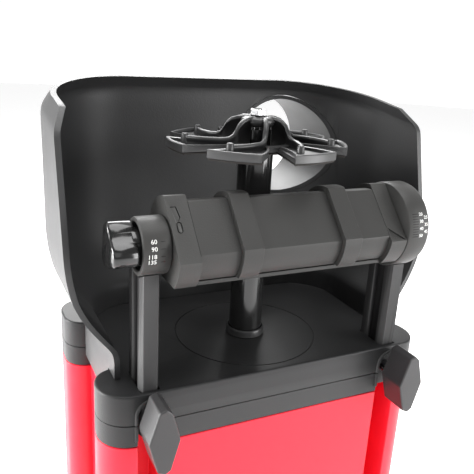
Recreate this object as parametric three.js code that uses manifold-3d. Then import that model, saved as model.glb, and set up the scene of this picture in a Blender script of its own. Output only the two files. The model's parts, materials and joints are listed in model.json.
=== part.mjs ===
// Bench honing station with its honing guide: a motor-driven slotted disc over a tilting tool
// rest, which two clamped posts carry. Millimetres, +Z up, the front faces -Y, and the origin is
// on the bench under the middle of the bounding box.
import * as THREE from "three";
import { mergeVertices } from "three/addons/utils/BufferGeometryUtils.js";
import Module from "manifold-3d";

const wasm = await Module();
wasm.setup();

// Driving dimensions
const GAP = 0.3; // between pieces that touch
const BODY_W = 150;
const BODY_FRONT = -45;
const BODY_REAR = 51.5;
const CORNER_R = 12.3;
const CAP_TOP = 200; // height of the cap's top face over the bench
const CAP_H = 22.2; // both cap pieces together
const CAP_UPPER_H = 12.5;
const EDGE_R = 2.8; // rounding of the cap's top edge
const FOOT_H = 6;
const FOOT_X = 66;
const FOOT_Y = [-35, 38];
const FOOT_R = 8.5;
const BASE_T = 4;
const WALL = 3;

const COLUMN_R = 9.5; // inner corners of the four corner columns
const RECESS_FRONT = -21.4; // the side recess between the columns
const RECESS_REAR = 22.6;
const REAR_RECESS_X = 51;

const SPINDLE_Y = -8.8;
const SPINDLE_R = 7.45;
const SHAFT_R = 4;
const DISC_R = 38.1; // a 3 inch disc
const DISC_Z = CAP_TOP + 86.2; // underside of the fan disc
const BLADES = 7;

const POST_X = 56.5;
const POST_W = 7.6;
const POST_FRONT = -42.8;
const POST_REAR = -27;
const CHANNEL_W = 10.5;
const CHANNEL_REAR = -26.5;
const STUD_Z = CAP_TOP - 11;
const STUD_R = 3;
const STUD_TIP_R = 1.8;
const KNOB_FRONT = -61.2;
const KNOB_DEPTH = 13;

const REST_Y = -36.5; // the tool rest's tilt axis
const REST_Z = CAP_TOP + 56.2;
const REST_SHAFT_R = 5;

const HOOD_X = 84; // outer half width of the hood's walls
const HOOD_REAR = 57.5;
const HOOD_CORNER_R = 45;
const HOOD_T = 2.3;
const SKIRT_INSET = 16.8; // the skirt stands in from the hood's widest plan by this much
const SKIRT_DROP = 16.3; // the skirt hangs this far below the cap's top
const HOOD_RISE = 0.147; // slope of the rim, up towards the rear
const PORT_X = 46.8;
const PORT_Z = CAP_TOP + 74.9;
const PORT_R = 25.1;
const PORT_END = 86;

const MOTOR_R = 30;
const MOTOR_Z = 60;
const MOTOR_H = 81.7;

const SKIRT_X = HOOD_X - SKIRT_INSET;
const SKIRT_Y = HOOD_REAR - SKIRT_INSET;
const SIDE_FACE = SKIRT_X - HOOD_T - GAP; // side and rear faces of the body's recesses
const REAR_FACE = SKIRT_Y - HOOD_T - GAP;

// The whole assembly is moved so that the middle of its depth is at y = 0.
const CENTRE_Y = (KNOB_FRONT + PORT_END) / 2;

const paint = (color, roughness, metalness = 0) =>
  new THREE.MeshStandardMaterial({ color, roughness, metalness });
const housingRed = paint(0xe8283a, 0.4);
const capBlack = paint(0x2c2c2d, 0.55);
const hoodBlack = paint(0x303031, 0.5);
const guideGrey = paint(0x555352, 0.5);
const postGrey = paint(0x454344, 0.45);
const knobGrey = paint(0x4a4a4b, 0.5);
const glossBlack = paint(0x101010, 0.15);
const satinBlack = paint(0x1c1c1d, 0.4);
const steel = paint(0xa9abad, 0.35, 1);
const rubber = paint(0x1a1a1a, 0.85);
const abrasive = paint(0x6b5a4c, 0.95);
const circuitGreen = paint(0x1f5a36, 0.6);
const motorGrey = paint(0x8d8f90, 0.5, 0.8);

// Solids and booleans
function toSolid(geometry) {
  const source = geometry.index ? geometry.toNonIndexed() : geometry.clone();
  source.deleteAttribute("normal");
  source.deleteAttribute("uv");
  const merged = mergeVertices(source, 1e-3);
  return new wasm.Manifold(
    new wasm.Mesh({
      numProp: 3,
      vertProperties: merged.attributes.position.array,
      triVerts: new Uint32Array(merged.index.array),
    }),
  );
}

function toGeometry(solid) {
  const mesh = solid.getMesh();
  const geometry = new THREE.BufferGeometry();
  geometry.setAttribute("position", new THREE.BufferAttribute(mesh.vertProperties, 3));
  geometry.setIndex(new THREE.BufferAttribute(mesh.triVerts, 1));
  return geometry;
}

function join(first, ...others) {
  let result = toSolid(first);
  for (const other of others) result = result.add(toSolid(other));
  return toGeometry(result);
}

function cut(first, ...others) {
  let result = toSolid(first);
  for (const other of others) result = result.subtract(toSolid(other));
  return toGeometry(result);
}

function overlap(first, second) {
  return toGeometry(toSolid(first).intersect(toSolid(second)));
}

// Basic shapes, placed by their limits
function block(x0, x1, y0, y1, z0, z1) {
  const geometry = new THREE.BoxGeometry(x1 - x0, y1 - y0, z1 - z0);
  return geometry.translate((x0 + x1) / 2, (y0 + y1) / 2, (z0 + z1) / 2);
}

function slab(shape, z0, z1, curveSegments = 3) {
  const options = { depth: z1 - z0, bevelEnabled: false, curveSegments };
  return new THREE.ExtrudeGeometry(shape, options).translate(0, 0, z0);
}

// A section drawn in (y, z) about the X axis, swept from x0 to x1.
function barAlongX(shape, x0, x1, curveSegments = 3) {
  const geometry = slab(shape, x0, x1, curveSegments);
  return geometry.applyMatrix4(new THREE.Matrix4().makeBasis(
    new THREE.Vector3(0, 1, 0), new THREE.Vector3(0, 0, 1), new THREE.Vector3(1, 0, 0)));
}

// A section drawn in (x, z), swept from y0 towards the rear to y1.
function barAlongY(shape, y0, y1, curveSegments = 3) {
  const geometry = slab(shape, -y1, -y0, curveSegments);
  return geometry.applyMatrix4(new THREE.Matrix4().makeBasis(
    new THREE.Vector3(1, 0, 0), new THREE.Vector3(0, 0, 1), new THREE.Vector3(0, -1, 0)));
}

function rodX(radius, x0, x1, sides = 20) {
  const geometry = new THREE.CylinderGeometry(radius, radius, x1 - x0, sides);
  return geometry.rotateZ(Math.PI / 2).translate((x0 + x1) / 2, 0, 0);
}

function rodY(radius, y0, y1, sides = 20) {
  return new THREE.CylinderGeometry(radius, radius, y1 - y0, sides).translate(0, (y0 + y1) / 2, 0);
}

function rodZ(radius, z0, z1, sides = 20) {
  const geometry = new THREE.CylinderGeometry(radius, radius, z1 - z0, sides);
  return geometry.rotateX(Math.PI / 2).translate(0, 0, (z0 + z1) / 2);
}

// A closed profile of [radius, height] points turned about the Z axis.
function turned(profile, sides = 24) {
  const points = profile.map(([r, z]) => new THREE.Vector2(r, z));
  return new THREE.LatheGeometry(points, sides).rotateX(Math.PI / 2);
}

function tube(inner, outer, z0, z1, sides = 24) {
  return turned([[inner, z0], [outer, z0], [outer, z1], [inner, z1], [inner, z0]], sides);
}

function polygon(points) {
  return new THREE.Shape(points.map(([x, y]) => new THREE.Vector2(x, y)));
}

function rectangle(x0, x1, y0, y1) {
  return polygon([[x0, y0], [x1, y0], [x1, y1], [x0, y1]]);
}

const root = new THREE.Group();
root.position.y = -CENTRE_Y;

function place(name, geometry, material, parent = root, position = [0, 0, 0]) {
  const mesh = new THREE.Mesh(geometry, material);
  mesh.name = name;
  mesh.position.set(...position);
  parent.add(mesh);
  return mesh;
}

// Outline of the body: corner columns, recessed sides and rear, and two open front channels
function bodyOutline(withChannels) {
  const x = BODY_W / 2;
  const r = CORNER_R;
  const c = COLUMN_R;
  const quarter = Math.PI / 2;
  const shape = new THREE.Shape();
  shape.moveTo(-x + r, BODY_FRONT);
  if (withChannels) {
    for (const centre of [-POST_X, POST_X]) {
      shape.lineTo(centre - CHANNEL_W / 2, BODY_FRONT);
      shape.lineTo(centre - CHANNEL_W / 2, CHANNEL_REAR);
      shape.lineTo(centre + CHANNEL_W / 2, CHANNEL_REAR);
      shape.lineTo(centre + CHANNEL_W / 2, BODY_FRONT);
    }
  }
  shape.absarc(x - r, BODY_FRONT + r, r, -quarter, 0);
  shape.absarc(x - c, RECESS_FRONT - c, c, 0, quarter);
  shape.lineTo(SIDE_FACE, RECESS_FRONT);
  shape.lineTo(SIDE_FACE, RECESS_REAR);
  shape.absarc(x - c, RECESS_REAR + c, c, -quarter, 0);
  shape.absarc(x - r, BODY_REAR - r, r, 0, quarter);
  shape.lineTo(REAR_RECESS_X, BODY_REAR);
  shape.lineTo(REAR_RECESS_X, REAR_FACE);
  shape.lineTo(-REAR_RECESS_X, REAR_FACE);
  shape.lineTo(-REAR_RECESS_X, BODY_REAR);
  shape.absarc(-x + r, BODY_REAR - r, r, quarter, 2 * quarter);
  shape.absarc(-x + c, RECESS_REAR + c, c, 2 * quarter, 3 * quarter);
  shape.lineTo(-SIDE_FACE, RECESS_REAR);
  shape.lineTo(-SIDE_FACE, RECESS_FRONT);
  shape.absarc(-x + c, RECESS_FRONT - c, c, quarter, 2 * quarter);
  shape.absarc(-x + r, BODY_FRONT + r, r, 2 * quarter, 3 * quarter);
  return shape;
}

// The hollow inside the body leaves a wall round the post channels.
function cavityOutline() {
  const sideX = SIDE_FACE - WALL;
  const rearY = REAR_FACE - WALL;
  const channelSide = POST_X - CHANNEL_W / 2 - WALL;
  const channelBack = CHANNEL_REAR + WALL;
  const front = BODY_FRONT + WALL;
  return polygon([
    [-channelSide, front],
    [channelSide, front],
    [channelSide, channelBack],
    [sideX, channelBack],
    [sideX, rearY],
    [-sideX, rearY],
    [-sideX, channelBack],
    [-channelSide, channelBack],
  ]);
}

const HOUSING_Z0 = FOOT_H + BASE_T + GAP;
const HOUSING_Z1 = CAP_TOP - CAP_H - GAP;
const BRACKET_Z = 142;
const BRACKET_T = 4;
const LEDGE_X = 56;
const LEDGE_Y = [-17, 30];
const SWITCH_Z = 48;
const INLET_Z = 34;

// The open-topped shell, with switch and inlet openings, rear vents and the bracket's four ledges
function housing() {
  let body = cut(
    slab(bodyOutline(true), HOUSING_Z0, HOUSING_Z1),
    slab(cavityOutline(), HOUSING_Z0 - 1, HOUSING_Z1 + 1),
    block(-12.3, 12.3, BODY_FRONT - 1, BODY_FRONT + 5, SWITCH_Z - 9.8, SWITCH_Z + 9.8),
    block(-14.3, 14.3, REAR_FACE - 5, REAR_FACE + 1, INLET_Z - 11.3, INLET_Z + 11.3),
  );
  for (let row = 0; row < 5; row++) {
    const z = 84 + row * 9;
    body = cut(body, block(-32, 32, REAR_FACE - 5, REAR_FACE + 1, z, z + 4));
  }
  for (const side of [-1, 1]) {
    for (const y of LEDGE_Y) {
      const x = side * LEDGE_X;
      const [x0, x1] = side > 0 ? [x - 6, x + 9] : [x - 9, x + 6];
      const ledge = block(x0, x1, y - 4.5, y + 4.5, BRACKET_Z - 14, BRACKET_Z - GAP);
      const screwHole = rodZ(2, BRACKET_Z - 10, BRACKET_Z + 1, 12).translate(x, y, 0);
      body = cut(join(body, ledge), screwHole);
    }
    for (const y of FOOT_Y) {
      body = cut(body, rodZ(2.1, 0, 21, 12).translate(side * FOOT_X, y, 0));
    }
  }
  return body;
}

const RING_Z0 = CAP_TOP - CAP_H;
const RING_Z1 = CAP_TOP - CAP_UPPER_H - GAP;
const BEARING_R = 14;

function capLowerRing() {
  return cut(
    slab(bodyOutline(true), RING_Z0, RING_Z1),
    slab(cavityOutline(), RING_Z0 - 1, RING_Z1 + 1),
  );
}

// The cap's upper piece: rounded top edge, spindle hole, post sockets and arched slot ends
function capTop() {
  const z0 = CAP_TOP - CAP_UPPER_H;
  const rounded = new THREE.ExtrudeGeometry(bodyOutline(false), {
    depth: 2 * CAP_UPPER_H - 2 * EDGE_R,
    bevelThickness: EDGE_R,
    bevelSize: EDGE_R,
    bevelOffset: -EDGE_R,
    bevelSegments: 3,
    curveSegments: 3,
  }).translate(0, 0, CAP_TOP - 2 * CAP_UPPER_H + EDGE_R);
  const hollow = cut(
    slab(cavityOutline(), z0 - 1, CAP_TOP - WALL),
    rodZ(BEARING_R + WALL, z0 - 2, CAP_TOP, 24).translate(0, SPINDLE_Y, 0),
  );
  let cap = cut(
    overlap(rounded, block(-BODY_W, BODY_W, -BODY_W, BODY_W, z0, CAP_TOP + 1)),
    hollow,
    rodZ(SPINDLE_R + 1, z0 - 1, CAP_TOP + 1, 24).translate(0, SPINDLE_Y, 0),
    rodZ(BEARING_R + GAP, z0 - 1, CAP_TOP - 4.7, 24).translate(0, SPINDLE_Y, 0),
  );
  const half = CHANNEL_W / 2;
  const archZ = CAP_TOP - 3.6 - half;
  for (const side of [-1, 1]) {
    const middle = side * POST_X;
    const socket = POST_W / 2 + GAP;
    cap = cut(
      cap,
      block(middle - half, middle + half, -50, CHANNEL_REAR, z0 - 1, archZ),
      rodY(half, -50, CHANNEL_REAR, 20).translate(middle, 0, archZ),
      block(middle - socket, middle + socket, POST_FRONT - GAP, POST_REAR + GAP, z0, CAP_TOP + 1),
    );
  }
  return cap;
}

// Hood: a U-shaped shell that flares up from the skirt. Each level is [height over the cap,
// inset from the widest plan, y of the wall's front edge, slope of the level].
const HOOD_LEVELS = [
  [GAP, SKIRT_INSET, -31, 0],
  [8.5, SKIRT_INSET, -31, 0],
  [11.5, 16.2, -30, 0],
  [19, 9.9, -28.5, 0],
  [25, 5.7, -27.5, 0],
  [32, 2.4, -26.8, 0],
  [40, 0.7, -26.5, 0],
  [47, 0, -25.8, 0],
  [94, 0, -13.8, HOOD_RISE],
  [101.7, 4, -3.9, HOOD_RISE],
];
const HOOD_ARC_STEPS = 9;

function hoodPlan(inset, front) {
  const x = HOOD_X - inset;
  const centreX = HOOD_X - HOOD_CORNER_R;
  const centreY = HOOD_REAR - HOOD_CORNER_R;
  const r = HOOD_CORNER_R - inset;
  const half = [[x, front]];
  for (let i = 0; i <= HOOD_ARC_STEPS; i++) {
    const a = (i / HOOD_ARC_STEPS) * Math.PI / 2;
    half.push([centreX + r * Math.cos(a), centreY + r * Math.sin(a)]);
  }
  return [...half, ...half.map(([px, py]) => [-px, py]).reverse()];
}

function hoodRows(extraInset) {
  return HOOD_LEVELS.map(([height, inset, front, slope]) =>
    hoodPlan(inset + extraInset, front).map(([x, y]) =>
      new THREE.Vector3(x, y, CAP_TOP + height + slope * (y - front))));
}

// Triangles of a closed skin: `grid` is a loop of rows of equal length, joined end to end.
function loopedSkin(rows) {
  const positions = [];
  const triangle = (a, b, c) => positions.push(...a.toArray(), ...b.toArray(), ...c.toArray());
  const count = rows[0].length;
  rows.forEach((row, i) => {
    const next = rows[(i + 1) % rows.length];
    for (let j = 0; j + 1 < count; j++) {
      triangle(row[j], row[j + 1], next[j + 1]);
      triangle(row[j], next[j + 1], next[j]);
    }
  });
  return { positions, triangle };
}

function fromTriangles(positions) {
  const geometry = new THREE.BufferGeometry();
  return geometry.setAttribute("position", new THREE.Float32BufferAttribute(positions, 3));
}

function hoodShell() {
  const outer = hoodRows(0);
  const inner = hoodRows(HOOD_T);
  const { positions, triangle } = loopedSkin([...outer, ...inner.slice().reverse()]);
  const last = outer[0].length - 1;
  for (let i = 0; i + 1 < outer.length; i++) {
    triangle(outer[i][0], outer[i + 1][0], inner[i + 1][0]);
    triangle(outer[i][0], inner[i + 1][0], inner[i][0]);
    triangle(outer[i][last], inner[i + 1][last], outer[i + 1][last]);
    triangle(outer[i][last], inner[i][last], inner[i + 1][last]);
  }
  return fromTriangles(positions);
}

// The space inside the hood, closed across its open front.
function hoodInside(extraInset) {
  const rows = hoodRows(extraInset);
  const positions = [];
  const triangle = (a, b, c) => positions.push(...a.toArray(), ...b.toArray(), ...c.toArray());
  const middles = rows.map((row) => new THREE.Vector3(0, row[0].y, row[0].z));
  rows.forEach((row, i) => {
    const closed = [...row, row[0]];
    for (let j = 0; j + 1 < closed.length; j++) {
      if (i === 0) triangle(middles[0], closed[j + 1], closed[j]);
      if (i === rows.length - 1) triangle(middles[i], closed[j], closed[j + 1]);
      if (i + 1 === rows.length) continue;
      const above = [...rows[i + 1], rows[i + 1][0]];
      triangle(closed[j], closed[j + 1], above[j + 1]);
      triangle(closed[j], above[j + 1], above[j]);
    }
  });
  return fromTriangles(positions);
}

// The hood's skirt hangs in the body's side and rear recesses.
function hood() {
  const inner = SKIRT_X - HOOD_T;
  const z0 = CAP_TOP - SKIRT_DROP;
  const z1 = CAP_TOP + 6;
  const straight = HOOD_REAR - HOOD_CORNER_R; // behind this the plan turns the corner
  const rearHalf = HOOD_X - HOOD_CORNER_R;
  const [front, rear] = [RECESS_FRONT + GAP, RECESS_REAR - GAP];
  return cut(
    join(
      hoodShell(),
      block(inner, SKIRT_X, front, straight, CAP_TOP - 1, z1),
      block(-SKIRT_X, -inner, front, straight, CAP_TOP - 1, z1),
      block(-rearHalf, rearHalf, SKIRT_Y - HOOD_T, SKIRT_Y, CAP_TOP - 1, z1),
      block(inner, SKIRT_X, front, rear, z0, CAP_TOP),
      block(-SKIRT_X, -inner, front, rear, z0, CAP_TOP),
      block(GAP - REAR_RECESS_X, REAR_RECESS_X - GAP, SKIRT_Y - HOOD_T, SKIRT_Y, z0, CAP_TOP),
    ),
    rodY(PORT_R + 2.1, 10, 100, 40).translate(PORT_X, 0, PORT_Z),
  );
}

function dustPort() {
  const ring = (inner, outer, y0, y1) =>
    cut(rodY(outer, y0, y1, 40), rodY(inner, y0 - 1, y1 + 1, 40)).translate(PORT_X, 0, PORT_Z);
  const pipe = join(
    ring(PORT_R, PORT_R + 1.8, 20, PORT_END),
    ring(PORT_R + 0.5, PORT_R + 3.4, PORT_END - 5, PORT_END - 2),
  );
  return cut(pipe, hoodInside(HOOD_T));
}

// Fan disc: a raised hub, curved walls that drop to the rim, and blades with slots between them
const FAN_HUB_Z = 99;
const RIB_W = 2.2;
// One wall, from hub to rim: [radius, lag behind the rib's foot in degrees, height of its top]
const RIB_PATH = [
  [2, 44, 99.2],
  [8, 40, 98.8],
  [12.5, 34, 97.2],
  [14.8, 31, 94.6],
  [16, 29, 91.6],
  [18.5, 25, 91],
  [24, 13, 90.8],
  [30.5, 0, 90.6],
];

function polar(radius, degrees, z) {
  const a = THREE.MathUtils.degToRad(degrees);
  return new THREE.Vector3(radius * Math.cos(a), radius * Math.sin(a), z);
}

// A rib with an upright rectangular section of the given width and height along its path.
function rib(path, width, baseZ) {
  const rows = path.map((point, i) => {
    const before = path[Math.max(i - 1, 0)];
    const after = path[Math.min(i + 1, path.length - 1)];
    const along = after.clone().sub(before).setZ(0).normalize();
    const side = new THREE.Vector3(-along.y, along.x, 0).multiplyScalar(width / 2);
    const bottom = new THREE.Vector3(point.x, point.y, baseZ);
    return [
      bottom.clone().add(side),
      bottom.clone().sub(side),
      point.clone().sub(side),
      point.clone().add(side),
    ];
  });
  const positions = [];
  const quad = (a, b, c, d) => {
    for (const p of [a, b, c, a, c, d]) positions.push(...p.toArray());
  };
  for (let i = 0; i + 1 < rows.length; i++) {
    for (let j = 0; j < 4; j++) {
      const k = (j + 1) % 4;
      quad(rows[i][j], rows[i + 1][j], rows[i + 1][k], rows[i][k]);
    }
  }
  quad(...rows[0]);
  quad(...rows[rows.length - 1].slice().reverse());
  return fromTriangles(positions);
}

// A ring sector with a swept leading edge, as the blades of the disc have.
function sector(inner, outer, from, to, sweep) {
  const steps = 6;
  const points = [];
  for (let i = 0; i <= steps; i++) {
    const p = polar(outer, from + ((to - from) * i) / steps, 0);
    points.push([p.x, p.y]);
  }
  for (let i = steps; i >= 0; i--) {
    const p = polar(inner, from + sweep + ((to - from) * i) / steps, 0);
    points.push([p.x, p.y]);
  }
  return polygon(points);
}

const BLADE_PITCH = 360 / BLADES;
const FIRST_PEG = 172.6;
const BLADE_SPAN = [-10, 22]; // a blade's ends, in degrees from its rib's foot
const NUT_BORE = 2;

function fanDisc() {
  const z = DISC_Z - CAP_TOP;
  const hub = turned([
    [0, FAN_HUB_Z - 4],
    [6.5, FAN_HUB_Z - 4],
    [7.5, FAN_HUB_Z - 2],
    [6.5, FAN_HUB_Z],
    [0, FAN_HUB_Z],
  ]);
  const parts = [tube(13, 20, z, z + 2.2, 36)];
  for (let i = 0; i < BLADES; i++) {
    const foot = FIRST_PEG + i * BLADE_PITCH;
    const path = RIB_PATH.map(([r, lag, top]) => polar(r, foot + lag, top));
    const [from, to] = BLADE_SPAN.map((angle) => foot + angle);
    parts.push(rib(path, RIB_W, z + 1));
    parts.push(slab(sector(18, DISC_R, from, to, 14), z, z + 2));
    parts.push(slab(sector(DISC_R - 2.4, DISC_R, from, to, 0), z, z + 3.2));
    const peg = polar(31, foot, 0);
    parts.push(rodZ(2.3, z + 1, 91.8, 12).translate(peg.x, peg.y, 0));
  }
  const bores = join(rodZ(6 + GAP, 80, FAN_HUB_Z - 4.9, 24), rodZ(NUT_BORE + GAP, 80, 110, 16));
  return cut(join(hub, ...parts), bores).translate(0, SPINDLE_Y, CAP_TOP);
}

function abrasiveDisc() {
  const z1 = DISC_Z - GAP;
  const z0 = z1 - 0.6;
  let disc = tube(9, 20, z0, z1, 36);
  for (let i = 0; i < BLADES; i++) {
    const foot = FIRST_PEG + i * BLADE_PITCH;
    const [from, to] = BLADE_SPAN.map((angle) => foot + angle);
    disc = join(disc, slab(sector(18, DISC_R - 0.4, from, to, 14), z0, z1));
  }
  return disc.translate(0, SPINDLE_Y, 0);
}

function arborNut() {
  return cut(rodZ(3.7, 0, 2.4, 6), rodZ(NUT_BORE + GAP, -1, 4, 16));
}

// The shaft from the motor up to the thread that carries the fan disc
function spindle() {
  const shoulder = CAP_TOP + 93.8;
  return turned([
    [0, MOTOR_Z + 8],
    [SHAFT_R, MOTOR_Z + 8],
    [SHAFT_R, CAP_TOP - 14],
    [SPINDLE_R, CAP_TOP - 14],
    [SPINDLE_R, CAP_TOP + 84.4],
    [6, CAP_TOP + 85.9],
    [6, shoulder],
    [NUT_BORE, shoulder],
    [NUT_BORE, CAP_TOP + 102],
    [0, CAP_TOP + 102],
  ]).translate(0, SPINDLE_Y, 0);
}

// Tool rest: a round bar with one flat, the face that the blade lies on. The flat is one plane
// over the barrel and both cheeks, and the collars stand proud of it.
const REST_FACE_ANGLE = 137; // direction the flat looks, in degrees from the rear, over the top
const REST_FACE_D = 11.6; // distance of the flat from the tilt axis
const BARREL_R = 15.9;
const COLLAR_R = 18.1;
const COLLAR_RISE = 2.4;
const CHEEK_R = 17.8;
const REST_BOTTOM = -11.2;
const BARREL_X = [-41.7, 41];
const COLLAR_X = [17.8, 25.8];
const DIAL_X = [49.1, 60.5];
const DIAL_R = 18.2;
const RING_X = [-60.8, -50.3];
const RING_R = 10.9;

function restOutline(radius, faceDistance = REST_FACE_D) {
  const middle = THREE.MathUtils.degToRad(REST_FACE_ANGLE);
  const half = Math.acos(faceDistance / radius);
  return new THREE.Shape().absarc(0, 0, radius, middle + half, middle - half + 2 * Math.PI);
}

function restBarrel() {
  return cut(
    barAlongX(restOutline(BARREL_R), ...BARREL_X, 24),
    rodX(REST_SHAFT_R + GAP, -60, 60),
    block(-60, 60, -30, 30, -30, REST_BOTTOM),
  );
}

function restCollar(x0, x1) {
  return cut(
    barAlongX(restOutline(COLLAR_R, REST_FACE_D + COLLAR_RISE), x0, x1, 24),
    barAlongX(restOutline(BARREL_R + GAP, REST_FACE_D + GAP), x0 - 1, x1 + 1, 24),
    block(-60, 60, -30, 30, -30, REST_BOTTOM),
  );
}

function restCradle() {
  const plateTop = REST_BOTTOM - GAP;
  return cut(
    join(
      barAlongX(restOutline(CHEEK_R), RING_X[1] + GAP, BARREL_X[0] - GAP, 24),
      barAlongX(restOutline(CHEEK_R), BARREL_X[1] + GAP, DIAL_X[0] - GAP, 24),
      block(BARREL_X[0] - 2, BARREL_X[1] + 2, -11.6, 11.6, plateTop - 1.5, plateTop),
    ),
    rodX(REST_SHAFT_R + GAP, -60, 60),
    block(-60, 60, -30, 30, -30, plateTop - 1.5),
  );
}

function indexRing() {
  return cut(
    rodX(RING_R, ...RING_X, 36),
    rodX(REST_SHAFT_R + GAP, -70, -40),
    rodX(RING_R - 2.2, RING_X[0] - 1, RING_X[0] + 3.6, 36),
  );
}

function angleDial() {
  const [x0, x1] = DIAL_X;
  return cut(
    join(rodX(DIAL_R, x0, x1 - 2, 48), rodX(DIAL_R - 1.2, x1 - 3, x1, 48)),
    rodX(REST_SHAFT_R + GAP, x0 - 1, x1 - 3),
  );
}

const KNOB_LOBES = 3;
const KNOB_LOBE_AT = 192; // direction of one lobe, in degrees from the rear, over the top

function lockKnob() {
  const points = [];
  const steps = 32;
  for (let i = 0; i < steps; i++) {
    const a = (i / steps) * 2 * Math.PI;
    const r = 8.2 + 1.6 * Math.cos(KNOB_LOBES * (a - THREE.MathUtils.degToRad(KNOB_LOBE_AT)));
    points.push([r * Math.cos(a), r * Math.sin(a)]);
  }
  return cut(
    join(barAlongX(polygon(points), -71, -61.6), rodX(7.2, -63, -58, 24)),
    rodX(REST_SHAFT_R + GAP, -68, -57),
  );
}

// A rail with chamfered front edges and a groove down each side
function post(headRadius) {
  const w = POST_W / 2;
  const grooveY = (POST_FRONT + POST_REAR) / 2;
  const half = [
    [w - 1, POST_FRONT],
    [w, POST_FRONT + 2.2],
    [w, grooveY - 3],
    [w - 1.8, grooveY - 2.4],
    [w - 1.8, grooveY + 2.4],
    [w, grooveY + 3],
    [w, POST_REAR],
  ];
  const section = polygon([...half, ...half.map(([x, y]) => [-x, y]).reverse()]);
  const head = rodX(headRadius + GAP, -10, 10, 36).translate(0, REST_Y, REST_Z);
  return cut(
    slab(section, CAP_TOP - 20, REST_Z),
    head,
    block(-10, 10, -60, 0, REST_Z - 2, REST_Z + 1),
    rodY(STUD_TIP_R + GAP, -50, -38.6, 12).translate(0, 0, STUD_Z),
  );
}

// The stud's thin tip enters the post, and its knob pulls the post against the slot.
function clampStud() {
  return join(
    rodY(STUD_R, KNOB_FRONT + 4.5, POST_FRONT - GAP, 16),
    rodY(STUD_TIP_R, -45, -39, 12),
  );
}

// A long grip with bevelled flanks that turns the clamp stud
function clampKnob() {
  const outline = polygon([
    [0.7, 13.6],
    [2.9, 11.6],
    [6.1, 0],
    [2.6, -12.6],
    [0.4, -14],
    [-2.6, -12.6],
    [-6.1, 0],
    [-2.2, 12.6],
  ]);
  return cut(
    barAlongY(outline, KNOB_FRONT, KNOB_FRONT + KNOB_DEPTH),
    rodY(STUD_R + GAP, KNOB_FRONT + 4, KNOB_FRONT + KNOB_DEPTH + 1, 16),
  );
}

function buildGuide() {
  const guide = new THREE.Group();
  for (const [name, side, radius] of [["left", -1, RING_R], ["right", 1, DIAL_R]]) {
    const x = side * POST_X;
    place(`post_${name}`, post(radius), postGrey, guide, [x, 0, 0]);
    place(`clamp_stud_${name}`, clampStud(), steel, guide, [x, 0, STUD_Z]);
    place(`clamp_knob_${name}`, clampKnob(), knobGrey, guide, [x, 0, STUD_Z]);
  }
  const rest = new THREE.Group();
  rest.position.set(0, REST_Y, REST_Z);
  guide.add(rest);
  place("index_ring", indexRing(), guideGrey, rest);
  place("angle_dial", angleDial(), guideGrey, rest);
  place("rest_shaft", rodX(REST_SHAFT_R, -67.5, DIAL_X[1] - 3.5), steel, rest);
  place("rest_barrel", restBarrel(), guideGrey, rest);
  place("rest_cradle", restCradle(), guideGrey, rest);
  place("rest_collar_left", restCollar(-COLLAR_X[1], -COLLAR_X[0]), guideGrey, rest);
  place("rest_collar_right", restCollar(...COLLAR_X), guideGrey, rest);
  place("lock_knob", lockKnob(), glossBlack, rest);
  root.add(guide);
}

// Feet, base, motor and electrics

function foot() {
  const top = FOOT_H - GAP;
  return turned([
    [2.3, 3],
    [4.5, 3],
    [4.5, 0],
    [FOOT_R - 1, 0],
    [FOOT_R, top],
    [2.3, top],
    [2.3, 3],
  ]);
}

function screw(headR, headZ0, headZ1, shankR, tipZ, sides) {
  return join(
    rodZ(headR, headZ0, headZ1, sides),
    rodZ(shankR, Math.min(tipZ, headZ0), Math.max(tipZ, headZ1), sides),
  );
}

function basePlate() {
  let plate = slab(rectangle(-70, 70, BODY_FRONT + 4, BODY_REAR - 4), FOOT_H, FOOT_H + BASE_T);
  for (const x of [-FOOT_X, FOOT_X]) {
    for (const y of FOOT_Y) {
      plate = cut(plate, rodZ(2.1, 0, 20, 12).translate(x, y, 0));
    }
  }
  return plate;
}

function motorCan() {
  const z0 = MOTOR_Z;
  const z1 = MOTOR_Z + MOTOR_H;
  const profile = [
    [0, z0],
    [MOTOR_R, z0],
    [MOTOR_R, z1],
    [SHAFT_R + 2, z1],
    [SHAFT_R + 2, z1 - 3],
    [MOTOR_R - 2.5, z1 - 3],
    [MOTOR_R - 2.5, z0 + 4],
    [0, z0 + 4],
  ];
  return turned(profile, 32).translate(0, SPINDLE_Y, 0);
}

function motorBracket() {
  const front = CHANNEL_REAR + WALL + 0.6;
  const rear = REAR_FACE - WALL - 0.6;
  let plate = cut(
    block(-61, 61, front, rear, BRACKET_Z, BRACKET_Z + BRACKET_T),
    rodZ(9 + GAP, 100, 200, 24).translate(0, SPINDLE_Y, 0),
  );
  for (const x of [-LEDGE_X, LEDGE_X]) {
    for (const y of LEDGE_Y) plate = cut(plate, rodZ(2.1, 100, 200, 12).translate(x, y, 0));
  }
  return plate;
}

// Each bearing stands between the spindle and the piece that holds it.
function bearing(inner, outer, z0, z1) {
  return tube(inner + GAP, outer, z0, z1, 28);
}

function switchBezel() {
  const frame = block(-14, 14, -47, BODY_FRONT - GAP, SWITCH_Z - 11.5, SWITCH_Z + 11.5);
  const shell = block(-12, 12, -46, -36, SWITCH_Z - 9.5, SWITCH_Z + 9.5);
  return cut(join(frame, shell), block(-7, 7, -60, -38, SWITCH_Z - 9.1, SWITCH_Z + 9.1));
}

function powerInlet() {
  const flange = block(-16.5, 16.5, REAR_FACE + GAP, REAR_FACE + 2.5, INLET_Z - 13, INLET_Z + 13);
  const shell = block(-14, 14, 20, REAR_FACE + 1, INLET_Z - 11, INLET_Z + 11);
  return cut(join(flange, shell), block(-11, 11, 23, 60, INLET_Z - 8, INLET_Z + 8));
}

function switchRocker() {
  const face = polygon([[-4.8, -8], [-2.6, 0], [-4.8, 8], [1.5, 8], [3, 0], [1.5, -8]]);
  return barAlongX(face, -6.6, 6.6).rotateX(THREE.MathUtils.degToRad(-8));
}

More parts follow.
